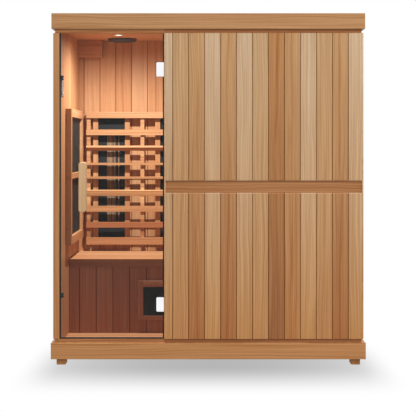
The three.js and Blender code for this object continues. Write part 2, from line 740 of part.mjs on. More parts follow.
// Catch: a base on the jamb with a pair of rollers behind the glass.
function catchGeometry() {
  const roller = CATCH_HEIGHT / 4;
  const base = CATCH_REACH - roller;
  const shape = new THREE.Shape();
  shape.moveTo(SEAT, -2 * roller);
  shape.lineTo(base, -2 * roller);
  shape.absarc(base, -roller, roller, -Math.PI / 2, Math.PI / 3);
  shape.absarc(base, roller, roller, -Math.PI / 3, Math.PI / 2);
  shape.lineTo(SEAT, 2 * roller);
  return sweepBack(shape, 0, CATCH_DEPTH);
}

function addDoor() {
  const boltHoles = boltHeights.map((z) => {
    return barBack(BOLT_RADIUS + SEAT, handleX, z, glassFront - 1, glassBack + 1);
  });
  piece('door_glass', cut(sweepBack(glassOutline(), glassFront, glassBack), ...boltHoles), clearGlass);
  piece('door_seal', sweepBack(sealOutline(), glassFront, glassBack), blackRubber);
  const levels = ['lower', 'upper'];
  const catchHeights = [boardFoot + CATCH_LOW_RISE, boardTop - CATCH_HIGH_DROP];
  levels.forEach((level, index) => {
    const clamp = piece(`hinge_clamp_${level}`, clampGeometry(), whiteMetal);
    clamp.position.set(hingeX, hingeY, hingeHeights[index]);
    const bracket = piece(`hinge_bracket_${level}`, bracketGeometry(), whiteMetal);
    bracket.position.set(hingeX, hingeY, hingeHeights[index]);
    const doorCatch = piece(`door_catch_${level}`, catchGeometry(), blackRubber);
    doorCatch.position.set(openingLeft, glassBack + RUNNING, catchHeights[index]);
  });
  addHandles();
}

// Bench

const benchPanelFront = benchFront + BENCH_PANEL_SETBACK;

function addBench() {
  const half = roomHalf - SEAT;
  const topFoot = benchTop - BENCH_THICKNESS;
  const joints = jointsFrom(benchFront + BENCH_BOARD, roomBack, BENCH_BOARD);
  const top = boardPoints(benchFront, roomBack - SEAT, benchTop, topFoot, joints);
  piece('bench_top', sweepAcross(shapeOf(top), -half, half), innerWood);
  const railTop = topFoot - SEAT;
  const railFoot = railTop - BENCH_RAIL_HEIGHT;
  const railFront = benchFront + BENCH_RAIL_SETBACK;
  const rail = block([-half, half], [railFront, railFront + BENCH_RAIL_DEPTH], [railFoot, railTop]);
  piece('bench_rail', rail, innerWood);
  const panelJoints = jointsFrom(-roomHalf + BENCH_PANEL_FIRST, roomHalf, BENCH_PANEL_BOARD);
  const panel = boardPoints(-half, half, benchPanelFront, benchPanelFront + BENCH_PANEL, panelJoints);
  piece('bench_front_panel', sweepUp(shapeOf(panel), liningFoot, railFoot - SEAT), innerWood);
}

// Heaters

function addCalfHeater() {
  const foot = floorTop + CALF_RISE;
  const top = foot + CALF_HEIGHT;
  const back = benchPanelFront - SEAT;
  const borders = { left: CALF_STILE, right: CALF_STILE, foot: CALF_BOTTOM_RAIL, top: CALF_TOP_RAIL };
  const frame = frameShape([-CALF_WIDTH / 2, CALF_WIDTH / 2], [foot, top], borders);
  piece('calf_heater_frame', sweepBack(frame, back - CALF_DEPTH, back), innerWood);
  const panelHalf = CALF_WIDTH / 2 - CALF_STILE - SEAT;
  const panel = block(
    [-panelHalf, panelHalf],
    [back - CALF_PANEL, back],
    [foot + CALF_BOTTOM_RAIL + SEAT, top - CALF_TOP_RAIL - SEAT],
  );
  piece('calf_heater_panel', panel, carbon);
}

// Emitter of a back heater, centred on x = 0: a plate with a raised cover, a reflector and a lamp slot.
function emitterGeometry(foot) {
  const half = BACK_HEATER_WIDTH / 2 - BACK_HEATER_STILE - SEAT;
  const back = roomBack - SEAT;
  const plateFront = back - EMITTER_PLATE;
  const coverFront = plateFront - COVER_PLATE;
  const coverFoot = foot + COVER_PLATE_RISE;
  const coverTop = coverFoot + COVER_PLATE_HEIGHT;
  const plate = block(
    [-half, half],
    [plateFront, back],
    [foot + BACK_HEATER_RAIL + SEAT, foot + BACK_HEATER_HEIGHT - BACK_HEATER_RAIL - SEAT],
  );
  const coverHalf = half - COVER_PLATE_MARGIN;
  const cover = block([-coverHalf, coverHalf], [coverFront, plateFront + 1], [coverFoot, coverTop]);
  const reach = [coverFoot + REFLECTOR_MARGIN, coverTop - REFLECTOR_MARGIN];
  const flutes = Array.from({ length: 2 * REFLECTOR_FLUTES + 1 }, (_, index) => [
    REFLECTOR_WIDTH * (0.5 - index / (2 * REFLECTOR_FLUTES)),
    coverFront + (index % 2 ? REFLECTOR_DEPTH : REFLECTOR_RIDGE),
  ]);
  const trough = [[-REFLECTOR_WIDTH / 2, coverFront - 1], [REFLECTOR_WIDTH / 2, coverFront - 1], ...flutes];
  const lampSlot = block(
    [LAMP_SLOT_OFFSET - LAMP_SLOT_WIDTH / 2, LAMP_SLOT_OFFSET + LAMP_SLOT_WIDTH / 2],
    [coverFront - 1, coverFront + LAMP_SLOT_DEPTH],
    reach,
  );
  return cut(join(plate, cover), sweepUp(shapeOf(trough), ...reach), lampSlot);
}

function addBackHeaters() {
  const foot = benchTop + BACK_HEATER_RISE;
  const half = BACK_HEATER_WIDTH / 2;
  const borders = {
    left: BACK_HEATER_STILE,
    right: BACK_HEATER_STILE,
    foot: BACK_HEATER_RAIL,
    top: BACK_HEATER_RAIL,
  };
  const frame = frameShape([-half, half], [foot, foot + BACK_HEATER_HEIGHT], borders);
  const centres = [-pairCentre, pairCentre].flatMap((middle) => {
    return [middle - heaterOffset, middle + heaterOffset];
  });
  centres.forEach((x, index) => {
    const heater = new THREE.Group();
    heater.position.x = x;
    cabin.add(heater);
    const frameBody = sweepBack(frame, roomBack - BACK_HEATER_DEPTH, roomBack - SEAT);
    piece(`back_heater_frame_${index + 1}`, frameBody, innerWood, heater);
    piece(`back_heater_panel_${index + 1}`, emitterGeometry(foot), carbon, heater);
  });
}

function addSideHeater(hand, side) {
  const foot = benchTop + SIDE_HEATER_RISE;
  const top = foot + SIDE_HEATER_HEIGHT;
  const back = roomBack - SIDE_HEATER_BACK_GAP;
  const front = back - SIDE_HEATER_WIDTH;
  const wall = roomHalf - SEAT;
  const face = roomHalf - SIDE_HEATER_DEPTH;
  const panelFace = wall - SIDE_PANEL;
  const sorted = (a, b) => [Math.min(side * a, side * b), Math.max(side * a, side * b)];
  const borders = {
    left: SIDE_HEATER_STILE,
    right: SIDE_HEATER_STILE,
    foot: SIDE_HEATER_RAIL,
    top: SIDE_HEATER_RAIL,
  };
  const surround = sweepAcross(frameShape([front, back], [foot, top], borders), ...sorted(face, wall));
  const middle = (foot + top) / 2 + SIDE_HEATER_MID_LIFT;
  const midRail = block(
    sorted(face, panelFace - SEAT),
    [front + SIDE_HEATER_STILE - 1, back - SIDE_HEATER_STILE + 1],
    [middle - SIDE_HEATER_MID_RAIL / 2, middle + SIDE_HEATER_MID_RAIL / 2],
  );
  piece(`side_heater_frame_${hand}`, join(surround, midRail), innerWood);
  const panel = block(
    sorted(panelFace, wall),
    [front + SIDE_HEATER_STILE + SEAT, back - SIDE_HEATER_STILE - SEAT],
    [foot + SIDE_HEATER_RAIL + SEAT, top - SIDE_HEATER_RAIL - SEAT],
  );
  piece(`side_heater_panel_${hand}`, panel, carbon);
}

// Backrests: slats let into three uprights that stand between the back heaters.
function backrestGeometry() {
  const slatFront = roomBack - SLAT_STANDOFF;
  const uprightFront = slatFront + SLAT_THICKNESS - SLAT_HOUSING;
  const firstSlat = benchTop + FOOT_SLAT_RISE;
  const foot = firstSlat - FOOT_SLAT_WIDTH / 2;
  const top = firstSlat + SLATS[SLATS.length - 1].place * SLAT_PITCH + TOP_SLAT_WIDTH / 2;
  const uprights = [-outerUpright, 0, outerUpright].map((x) => block(
    [x - UPRIGHT_WIDTH / 2, x + UPRIGHT_WIDTH / 2],
    [uprightFront, roomBack - SEAT],
    [foot, top],
  ));
  const slats = SLATS.map(({ place, tilt, width }) => {
    const slat = new THREE.BoxGeometry(2 * backrestHalf, SLAT_THICKNESS, width);
    const setback = tilt === 0 ? 0 : TURNED_SLAT_SETBACK;
    slat.rotateX(THREE.MathUtils.degToRad(tilt));
    return slat.translate(0, slatFront + SLAT_THICKNESS / 2 + setback, firstSlat + place * SLAT_PITCH);
  });
  return join(...uprights, ...slats);
}

function addBackrests() {
  for (const [hand, side] of [['left', -1], ['right', 1]]) {
    const backrest = piece(`backrest_${hand}`, backrestGeometry(), innerWood);
    backrest.position.x = side * pairCentre;
  }
}

// Fittings

function addCeilingFittings() {
  const box = block(
    [-roomHalf + SEAT, -roomHalf + SEAT + WIRING_BOX_WIDTH],
    [roomBack - SEAT - WIRING_BOX_DEPTH, roomBack - SEAT],
    [ceilingFoot - SEAT - WIRING_BOX_HEIGHT, ceilingFoot - SEAT],
  );
  piece('wiring_box', box, innerWood);
  const seat = -SEAT;
  const speakerProfile = [
    [0, -SPEAKER_DROP * 0.55],
    [SPEAKER_RADIUS - SPEAKER_RIM, -SPEAKER_DROP * 0.7],
    [SPEAKER_RADIUS - SPEAKER_RIM / 2, -SPEAKER_DROP],
    [SPEAKER_RADIUS, -SPEAKER_DROP / 2],
    [SPEAKER_RADIUS, seat],
    [SPEAKER_BODY_RADIUS, seat],
    [SPEAKER_BODY_RADIUS, CEILING],
    [SPEAKER_BODY_RADIUS / 2, SPEAKER_BODY_HEIGHT],
    [0, SPEAKER_BODY_HEIGHT],
  ];
  const lampProfile = [
    [0, -LAMP_DROP / 2],
    [LAMP_RADIUS - LAMP_RIM, -LAMP_DROP / 2],
    [LAMP_RADIUS - LAMP_RIM / 2, -LAMP_DROP],
    [LAMP_RADIUS, -LAMP_DROP / 2],
    [LAMP_RADIUS, seat],
    [LAMP_BODY_RADIUS, seat],
    [LAMP_BODY_RADIUS, LAMP_BODY_HEIGHT],
    [0, LAMP_BODY_HEIGHT],
  ];
  const turned = (profile) => {
    const points = profile.map(([radius, height]) => new THREE.Vector2(radius, height));
    return new THREE.LatheGeometry(points, ROUND_STEPS).rotateX(Math.PI / 2);
  };
  const speaker = piece('ceiling_speaker', turned(speakerProfile), darkPlastic);
  speaker.position.set(openingMiddle, speakerDepth, ceilingFoot);
  const lamp = piece('downlight', turned(lampProfile), lampWhite);
  lamp.position.set(openingMiddle, lampDepth, ceilingFoot);
}

// Keypad: a bezel on the lining with its body let into a pocket, and buttons that sink into the bezel.
function addKeypad(leftLining) {
  const front = roomFront + SEAT + KEYPAD_FRONT_GAP;
  const back = front + KEYPAD_LENGTH;
  const foot = floorTop + KEYPAD_RISE;
  const top = foot + KEYPAD_HEIGHT;
  const face = -roomHalf + SEAT + KEYPAD_BEZEL;
  const bezel = block([-roomHalf + SEAT, face], [front, back], [foot, top]);
  const bodyBlock = (slack) => block(
    [-roomHalf - KEYPAD_BODY - slack, -roomHalf + 1],
    [front + KEYPAD_BODY_MARGIN - slack, back - KEYPAD_BODY_MARGIN + slack],
    [foot + KEYPAD_BODY_MARGIN - slack, top - KEYPAD_BODY_MARGIN + slack],
  );
  leftLining.geometry = cut(leftLining.geometry, bodyBlock(SEAT));
  const middle = (front + back) / 2;
  const display = block(
    [face - DISPLAY_RECESS, face + 1],
    [middle - DISPLAY_LENGTH / 2, middle + DISPLAY_LENGTH / 2],
    [top - DISPLAY_DROP - DISPLAY_HEIGHT, top - DISPLAY_DROP],
  );
  const corners = [BUTTON_CORNER, BUTTON_CORNER, BUTTON_CORNER, BUTTON_CORNER];
  const buttonBack = face + BUTTON_PROUD - BUTTON_THICKNESS;
  const buttonZ = foot + BUTTON_RISE;
  const buttonYs = Array.from({ length: BUTTON_COUNT }, (_, index) => {
    return middle + (index - (BUTTON_COUNT - 1) / 2) * BUTTON_PITCH;
  });
  const wellShape = roundedShape(BUTTON_LENGTH + 2 * RUNNING, BUTTON_HEIGHT + 2 * RUNNING, corners);
  const wellDepth = buttonBack - BUTTON_TRAVEL - RUNNING;
  const wells = buttonYs.map((y) => sweepAcross(wellShape, wellDepth, face + 1).translate(0, y, buttonZ));
  piece('keypad_housing', cut(join(bezel, bodyBlock(0)), display, ...wells), greyPlastic);
  const buttonShape = roundedShape(BUTTON_LENGTH, BUTTON_HEIGHT, corners);
  buttonYs.forEach((y, index) => {
    const button = sweepAcross(buttonShape, 0, BUTTON_THICKNESS);
    const cap = piece(`keypad_button_${index + 1}`, button, steel);
    cap.position.set(buttonBack, y, buttonZ);
  });
}

addBase();
const leftLining = addSideWall('left', -1, roomFront + SEAT);
addSideWall('right', 1, 0);
addBackWall();
addFrontWall();
addRoof();
addDoor();
addBench();
addCalfHeater();
addBackHeaters();
addSideHeater('left', -1);
addSideHeater('right', 1);
addBackrests();
addCeilingFittings();
addKeypad(leftLining);

// The origin lies on the floor, in the middle of the whole cabin with its handle.
const handleFace = glassFront - HANDLE_STANDOFF - HANDLE_THICKNESS;
cabin.position.y = -(handleFace + plinthBack) / 2;

const sauna = new THREE.Group();
sauna.add(cabin);

export default sauna;
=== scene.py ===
# %% [markdown]
# # An infrared sauna cabin
# The real cabin is a boarded cedar room on a plinth, with a frameless glass door at the left and a bench
# with heaters inside. Its solids come from the shared frame as they were designed, with every groove, slat
# and frame cut. They could be modelled again here, but two models of one object soon differ. So this lesson
# only gives the solids their surfaces, and adds a floor, light and a camera.

import math
from types import SimpleNamespace

import bpy
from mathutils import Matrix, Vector


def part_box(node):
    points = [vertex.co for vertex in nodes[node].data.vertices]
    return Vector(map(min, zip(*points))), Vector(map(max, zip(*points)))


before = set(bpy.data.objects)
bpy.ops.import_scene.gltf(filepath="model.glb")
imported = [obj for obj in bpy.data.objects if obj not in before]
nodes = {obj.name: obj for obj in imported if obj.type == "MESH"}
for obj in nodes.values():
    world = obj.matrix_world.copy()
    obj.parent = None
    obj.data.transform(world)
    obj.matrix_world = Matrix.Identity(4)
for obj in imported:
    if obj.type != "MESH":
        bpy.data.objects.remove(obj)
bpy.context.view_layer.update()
print(len(nodes), "solids loaded")

# %% [markdown]
# Every finish below is a graph of shader nodes. It could be wired by hand in the node editor, but a formula
# is easier to read and to change. A `Wire` is one socket of a node. Adding or multiplying wires makes the
# Math nodes behind the formula, and every other kind of node comes from the one method `node`.

# %% Arithmetic on shader sockets
def math_method(operation, reflected=False):
    """A method of Wire that adds one Math node."""
    def method(self, other):
        return self.maths(operation, other, self) if reflected else self.maths(operation, self, other)
    return method


def set_steps(ramp, stops):
    """Makes a colour ramp of plain steps. A new ramp comes with two."""
    ramp.interpolation = "CONSTANT"
    for index, (position, colour) in enumerate(stops):
        step = ramp.elements[index] if index < len(ramp.elements) else ramp.elements.new(position)
        step.position, step.color = position, colour


class Wire:
    """One socket of a node, usable in arithmetic."""

    def __init__(self, tree, socket=None):
        self.tree = tree
        self.socket = socket

    def node(self, kind, values=None, output=0, stops=(), **settings):
        """Adds a node: its settings first, then the values or links of its sockets.

        stops are the places and colours of a ramp in plain steps, and output says which socket is wanted."""
        made = self.tree.nodes.new(kind)
        for name, value in settings.items():
            setattr(made, name, value)
        if stops:
            set_steps(made.color_ramp, stops)
        for name, value in (values or {}).items():
            if isinstance(value, Wire):
                self.tree.links.new(value.socket, made.inputs[name])
            else:
                made.inputs[name].default_value = value
        return None if output is None else Wire(self.tree, made.outputs[output])

    def maths(self, operation, *terms):
        return self.node("ShaderNodeMath", dict(enumerate(terms)), operation=operation)

    __add__, __radd__ = math_method("ADD"), math_method("ADD", reflected=True)
    __sub__, __rsub__ = math_method("SUBTRACT"), math_method("SUBTRACT", reflected=True)
    __mul__, __rmul__ = math_method("MULTIPLY"), math_method("MULTIPLY", reflected=True)
    __truediv__, __rtruediv__ = math_method("DIVIDE"), math_method("DIVIDE", reflected=True)
    __pow__, __rpow__ = math_method("POWER"), math_method("POWER", reflected=True)
    larger = math_method("MAXIMUM")
    above = math_method("GREATER_THAN")

    def __abs__(self):
        return self.maths("ABSOLUTE", self)

    def floor(self):
        return self.maths("FLOOR", self)

    def ramp(self, low, high, start=0.0, end=1.0, curve="SMOOTHSTEP"):
        """Goes from start to end while the wire goes from low to high."""
        values = {"Value": self, "From Min": low, "From Max": high, "To Min": start, "To Max": end}
        return self.node("ShaderNodeMapRange", values, interpolation_type=curve)

    def part(self, index):
        """One coordinate of a vector."""
        return self.node("ShaderNodeSeparateXYZ", {"Vector": self}, index)

    def vector(self, x, y, z):
        return self.node("ShaderNodeCombineXYZ", {"X": x, "Y": y, "Z": z})

    def mix(self, a, b):
        """The colour between a and b that this wire picks."""
        factor, first, second, colour = 0, 6, 7, 2  # the places of the colour sockets on a Mix node
        return self.node("ShaderNodeMix", {factor: self, first: a, second: b}, colour, data_type="RGBA")

    def times(self, tint):
        """A colour multiplied by another."""
        return self.node("ShaderNodeVectorMath", {0: self, 1: tint}, operation="MULTIPLY")

    def noise(self, detail=3.0, roughness=0.55, distortion=0.0, scale=1.0):
        values = {
            "Vector": self, "Scale": scale, "Detail": detail,
            "Roughness": roughness, "Distortion": distortion,
        }
        return self.node("ShaderNodeTexNoise", values)

    def palette(self, colours):
        """One of several colours, picked by a wire that counts 0, 1, 2 and so on."""
        count = len(colours)
        stops = [(index / count, colour) for index, colour in enumerate(colours)]
        return self.node("ShaderNodeValToRGB", {0: (self + 0.5) / count}, stops=stops)


print("wires ready")

# %% [markdown]
# A maker reads a colour off a sample as red, green and blue from 0 to 255, while shaders reckon in linear
# light. The numbers could be converted by hand, but then no one could check them, so `srgb` does it here. A
# material starts as an empty graph with one wire, a point's place in the shared frame, because the solids
# carry no picture coordinates.

# %% Colours and materials
def srgb(*levels):
    """A colour read off in 0 to 255, as linear light by the usual sRGB curve."""
    shares = [level / 255 for level in levels]
    linear = [((s + 0.055) / 1.055) ** 2.4 if s > 0.04045 else s / 12.92 for s in shares]
    return (*linear, 1.0)


def new_material(name):
    """An empty material, and the wire of a point's place that its graph starts from."""
    material = bpy.data.materials.new(name)
    material.use_nodes = True
    material.node_tree.nodes.clear()
    return material, Wire(material.node_tree).node("ShaderNodeTexCoord", output="Object")


def surface(shader):
    """Ends a material's graph with this shader."""
    shader.node("ShaderNodeOutputMaterial", {"Surface": shader}, output=None)


def bump(height, distance, strength=1.0):
    """Fine relief, that deep in metres where the height goes from 0 to 1."""
    values = {"Height": height, "Distance": distance, "Strength": strength}
    return height.node("ShaderNodeBump", values, "Normal")


def wear(material, *names):
    """Gives these solids the material."""
    for name in names:
        mesh = nodes[name].data
        mesh.materials.clear()
        mesh.materials.append(material)
    print(material.name, "on", len(names), "solids")


print("materials ready")

# %% [markdown]
# On the real cabin sawn timber has crisp faces, and the rounded handles are smooth. The solids arrive as
# loose triangles, so a flat face and a curve shade alike. Each mesh could be welded and marked by hand, but
# the frame's meshes have to stay as they are. A small modifier does it instead: it sews the triangles
# together and marks every edge that turns by more than 30 degrees as sharp.

# %% Crisp and smooth edges
SHARP_TURN = math.radians(30.0)
SEAM = 0.00001

sewing = bpy.data.node_groups.new("sewn edges", "GeometryNodeTree")
for direction in ("INPUT", "OUTPUT"):
    sewing.interface.new_socket("Geometry", in_out=direction, socket_type="NodeSocketGeometry")
loose = Wire(sewing).node("NodeGroupInput")
sewn = loose.node("GeometryNodeMergeByDistance", {"Geometry": loose, "Distance": SEAM})
turn = loose.node("GeometryNodeInputMeshEdgeAngle")
sharp = loose.node("FunctionNodeCompare", {"A": turn, "B": SHARP_TURN}, operation="GREATER_THAN")
values = {"Mesh": sewn, "Remove Custom": True, "Edge Sharpness": sharp, "Face Sharpness": False}
shaded = loose.node("GeometryNodeSetMeshNormal", values, mode="SHARPNESS")
loose.node("NodeGroupOutput", {"Geometry": shaded}, output=None)
for solid in nodes.values():
    solid.modifiers.new("sewn edges", "NODES").node_group = sewing
print(len(nodes), "solids sewn")

# %% [markdown]
# Cedar boards differ from one to the next. A picture of timber could be wrapped round every piece, but it
# would repeat, and it would not change at the grooves. Here the number of the board is worked out from a
# point's place across the wall, so the tone changes exactly where two boards meet. Tones are named in
# order, or else drawn by lot. Outside they also turn darker and warmer towards the foot, a painted shade
# for light that falls from above.

# %% Boards side by side
LOT = 0.37  # keeps the numbers of the lot off the whole numbers
# Heights of the painted shade that darkens the outside towards the floor, and its curve
SHADE_FOOT_HEIGHT, SHADE_HEAD_HEIGHT, SHADE_CURVE = 0.15, 1.84, 1.35  # two heights, and how the fade bends between them


def lay_boards(name, along, across, first, pitch):
    """Boards that start at first and lie a pitch apart. along and across find their length and width."""
    material, place = new_material(name)
    width = across(place)
    count = (width - first) / pitch
    number = count.floor()
    return SimpleNamespace(
        material=material, place=place, length=along(place), width=width,
        number=number, within=count - number, pitch=pitch,
    )


def stain(boards, tones, order, foot):
    """Gives each board its tone, which turns into its darker tone of the foot towards the floor: a painted
    shade, as the light falls from above.
    """
    names, pick = order, boards.number
    if not order:
        names = list(tones)
        drawn = {"W": boards.number + LOT}
        lot = pick.node("ShaderNodeTexWhiteNoise", drawn, "Value", noise_dimensions="1D")
        pick = (lot * len(names)).floor()
    tone = pick.palette([tones[name] for name in names])
    # Towards the floor the tone turns into the darker, warmer tone of the foot: a painted shade
    if foot:
        downward_shade = boards.place.part(2).ramp(SHADE_FOOT_HEIGHT, SHADE_HEAD_HEIGHT, 1.0, 0.0, "LINEAR")
        tone = (downward_shade ** SHADE_CURVE).mix(tone, pick.palette([foot[name] for name in names]))
    boards.tone = boards.colour = tone


print("boards ready")

# %% [markdown]
# Each board has lines that run its whole length, as the tree grew. They could be a wave texture, but its
# stripes are too even for timber. Noise that is squeezed across the board and drawn out along it looks
# right at every scale, so it is used four times, from broad clouds to fine pores.

# %% Grain
STRAY = 0.05  # how far the lines stray sideways, in metres
STRAY_ALONG, STRAY_ACROSS, STRAY_STEP = 1.3, 4, 2.3
BROAD_DEPTH, LINE_DEPTH, PORE_DEPTH = 1.2, 1.2, 0.4
PORE_FROM, PORE_FULL = 0.52, 0.75
DARKENING = (0.26, 0.36, 0.46)  # cedar turns redder as it darkens


def marks(boards, width, across, along, steps=(0.0, 0.0), deep=None):
    """Where one kind of marks looks up its noise, with so many repeats in a metre across and along.

    The steps from board to board give each board its own part of the noise."""
    x = width * across + boards.number * steps[0]
    y = boards.length * along + boards.number * steps[1]
    return boards.place.vector(x, y, boards.number if deep is None else deep)


def grain(boards, figure):
    """Draws the marks on the boards, with bands as strong as figure."""
    place, number = boards.place, boards.number
    bend = boards.length * STRAY_ALONG + number * STRAY_STEP
    drift = place.vector(bend, boards.width * STRAY_ACROSS, number).noise(2.0, 0.5)
    width = boards.width + (drift - 0.5) * STRAY
    depth = place.part(0) + place.part(1) + place.part(2)
    clouds = marks(boards, width, across=55, along=0.5, steps=(7.3, 3.1), deep=depth * 2)
    boards.broad = clouds.noise(detail=2.0, roughness=0.5, distortion=0.2)
    bands = marks(boards, width, across=170, along=0.7, steps=(3.7, 0.0)).noise(2.0, 0.6)
    boards.lines = marks(boards, width, across=520, along=1.9, steps=(0.0, 1.7)).noise(3.0, 0.6)
    boards.pores = marks(boards, width, across=1500, along=22).noise(2.0, 0.6)
    shade = (boards.broad - 0.5) * BROAD_DEPTH + (bands - 0.5) * figure + (boards.lines - 0.5) * LINE_DEPTH
    shade = shade + boards.pores.ramp(PORE_FROM, PORE_FULL, 0.0, PORE_DEPTH)
    boards.colour = boards.tone.times(place.vector(*(1.0 - shade * share for share in DARKENING)))


print("grain ready")

# %% [markdown]
# Some boards hold the dark heart of the tree, a streak that wanders down the board and breaks up along its
# lines. It could be painted by hand on each board, but a band of noise about the board's middle does the
# same on any board, and a list says which boards have one.

# %% Dark hearts
HEART_SIDE, HEART_WANDER = 0.22, 0.56  # as shares of a board's width
HEART_CORE, HEART_RIM = 0.02, 0.12
HEART_STEP, HEART_BENDS = 2.7, 1.6
HEART_DEPTH = 0.75
HEART_TINT = (0.66, 0.46, 0.34)
BLACK, WHITE = (0.0, 0.0, 0.0, 1.0), (1.0, 1.0, 1.0, 1.0)


def hearts(boards, streaked, count):
    """Streaks the boards with these numbers, of that many in all."""
    wander = boards.place.vector(boards.number * HEART_STEP, boards.length * HEART_BENDS, 0.0).noise(2.0)
    away = abs(boards.within - HEART_SIDE - wander * HEART_WANDER)
    heart = away.ramp(HEART_CORE, HEART_RIM, 1.0, 0.0) * boards.lines.ramp(0.35, 0.6)
    heart = heart * boards.broad.ramp(0.3, 0.6, 0.35, 1.0)
    chosen = boards.number.palette([WHITE if number in streaked else BLACK for number in range(count)])
    boards.colour = (heart * chosen * HEART_DEPTH).mix(boards.colour, boards.tone.times(HEART_TINT))


print("hearts ready")

# %% [markdown]
# The edges of a board beside a groove are darkened, a painted shade of the groove, and a sawn end is
# made pale, a painted highlight where its edge catches the light. These thin lines could be separate
# strips, but they are mixed into the colour by distance. The oil leaves a soft sheen, and the lines and
# pores give a relief of less than half a millimetre.

# %% Painted groove shade, highlit ends and the finished timber
# Painted shade beside the grooves: how dark it is, and its tint
GROOVE_SHADE_DEPTH = 0.7
GROOVE_SHADE_TINT = (0.50, 0.40, 0.32)
# A painted highlight along the sawn ends: how strong it is, its tint, and how far it reaches
END_HIGHLIGHT_DEPTH = 0.45
END_HIGHLIGHT_TINT = (1.30, 1.42, 1.60)
END_HIGHLIGHT_FROM, END_HIGHLIGHT_TO = 0.003, 0.006
MOST = (0.3, 0.7)  # most of a noise lies between these
TIMBER_SHINE = 0.22
TIMBER_RELIEF = 0.0004


def shade_grooves(boards, reach):
    """Paints shade on the edges of each board, that far in from the groove."""
    edge = (0.5 - abs(boards.within - 0.5)) * boards.pitch
    shadow = edge.ramp(reach * 0.5, reach, GROOVE_SHADE_DEPTH, 0.0)
    boards.colour = shadow.mix(boards.colour, boards.tone.times(GROOVE_SHADE_TINT))


def paint_end_highlight(boards, end):
    """Paints a pale highlight on the boards beside this place along them, where a sawn end catches the
    light.
    """
    # the pale line is a painted highlight
    pale = abs(boards.length - end).ramp(END_HIGHLIGHT_FROM, END_HIGHLIGHT_TO, END_HIGHLIGHT_DEPTH, 0.0)
    boards.colour = pale.mix(boards.colour, boards.tone.times(END_HIGHLIGHT_TINT))


def timber(
    name, tones, along, across, first, pitch,
    order=None, foot=None, streaked=(), groove_shade=0.0, rough=0.5, figure=2.6, ends=(),
):
    """A timber finish for boards side by side.

    order names each board's tone in turn, foot has the darker tones painted near the floor as shade, and
    streaked lists the boards with a dark heart. groove_shade is the reach of a groove's painted shade,
    figure is the strength of the grain, and ends are the places along the boards where a pale highlight is
    painted on their sawn ends."""
    boards = lay_boards(name, along, across, first, pitch)
    stain(boards, tones, order, foot)
    grain(boards, figure)
    if streaked:
        hearts(boards, streaked, len(order))
    if groove_shade:
        shade_grooves(boards, groove_shade)
    for end in ends:
        paint_end_highlight(boards, end)
    values = {
        "Base Color": boards.colour,
        "Roughness": boards.lines.ramp(*MOST, rough - 0.08, rough + 0.10),
        "Specular IOR Level": TIMBER_SHINE,
        "Normal": bump(boards.lines * 0.6 + boards.pores * 0.4, TIMBER_RELIEF),
    }
    surface(boards.place.node("ShaderNodeBsdfPrincipled", values))
    return boards.material


print("timber ready")

# %% [markdown]
# The outside is oiled cedar, in six tones. Each turns darker and warmer towards the foot of a board, a
# painted shade for light that falls from above. A single tone with more grain could stand for them all,
# but sorted boards are what gives such a wall its rhythm.
# The widths are the real ones, so the tones change in the grooves of the solids.

# %% The outer boards
AXES = {"x": 0, "y": 1, "z": 2}
OUTER = {
    "pale": srgb(197, 166, 132),
    "tan": srgb(188, 149, 108),
    "mid": srgb(186, 143, 99),
    "light": srgb(189, 153, 113),
    "dark": srgb(175, 124, 79),
    "russet": srgb(182, 139, 96),
}
# Darker, warmer tones near the floor: a painted shade for light that falls from above
SHADED_FOOT = {
    "pale": srgb(193, 139, 86),
    "tan": srgb(188, 133, 84),
    "mid": srgb(172, 112, 66),
    "light": srgb(188, 134, 84),
    "dark": srgb(157, 104, 65),
    "russet": srgb(182, 123, 74),
}
BOARD = 0.0886
GROOVE_SHADE_REACH = 0.0034  # reach of a groove's shadow
OUTER_FIGURE = 3.4


def axis(letter):
    """Finds one coordinate of a point's place."""
    return lambda place: place.part(AXES[letter])


def outer(name, letter, first, order=None, streaked=(), ends=()):
    """Upright boards, side by side along the axis with this letter."""
    return timber(
        name, OUTER, axis("z"), axis(letter), first, BOARD, order=order, foot=SHADED_FOOT,
        streaked=streaked, groove_shade=GROOVE_SHADE_REACH, figure=OUTER_FIGURE, ends=ends,
    )


print(len(OUTER), "outer tones")

# %% [markdown]
# The front's boards could have their tones by lot, but the front is what the eye knows the cabin by, so
# they are named one by one, as on the sides. The back stands to a wall, and its tones are drawn. The sawn
# ends above and below the rail across the front have a painted highlight, where their edges catch the
# light.

# %% The front, the sides and the back
FRONT_ORDER = ["pale", "tan", "mid", "pale", "mid", "pale", "light"]
FRONT_ORDER += ["dark", "russet", "pale", "tan", "mid", "pale"]
FRONT_STREAKED = (2, 4, 7, 8, 11)
LAST_GROOVE = 0.7767
front_first = LAST_GROOVE - (len(FRONT_ORDER) - 1) * BOARD
rail_low, rail_high = (corner.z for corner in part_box("front_mid_rail"))
front = outer("front boards", "x", front_first, FRONT_ORDER, FRONT_STREAKED, (rail_low, rail_high))
wear(front, "front_boards_upper", "front_boards_lower")

SIDE_ORDER = ["pale", "tan", "light", "mid", "pale", "russet", "tan"]
SIDE_ORDER += ["pale", "mid", "light", "dark", "tan", "pale"]
SIDE_STREAKED = (3, 5, 10)
SIDE_FIRST, BACK_FIRST = -0.6142, -0.86
wear(outer("side boards", "y", SIDE_FIRST, SIDE_ORDER, SIDE_STREAKED), "left_cladding", "right_cladding")
wear(outer("back boards", "x", BACK_FIRST), "back_cladding")

# %% [markdown]
# The cornice, the plinth, the posts and the rails are single lengths of the same cedar. They could share
# the boards' finish, but each was cut from its own stock and lies its own way, so each has its own tones
# and its grain runs along it. Where a piece is one length, the pitch is wider than the piece. The posts
# turn darker towards the floor, a painted shade. The rail across the front is set back, and a brown
# shadow is painted along its upper edge. The roof's dust cover is a plain birch sheet.

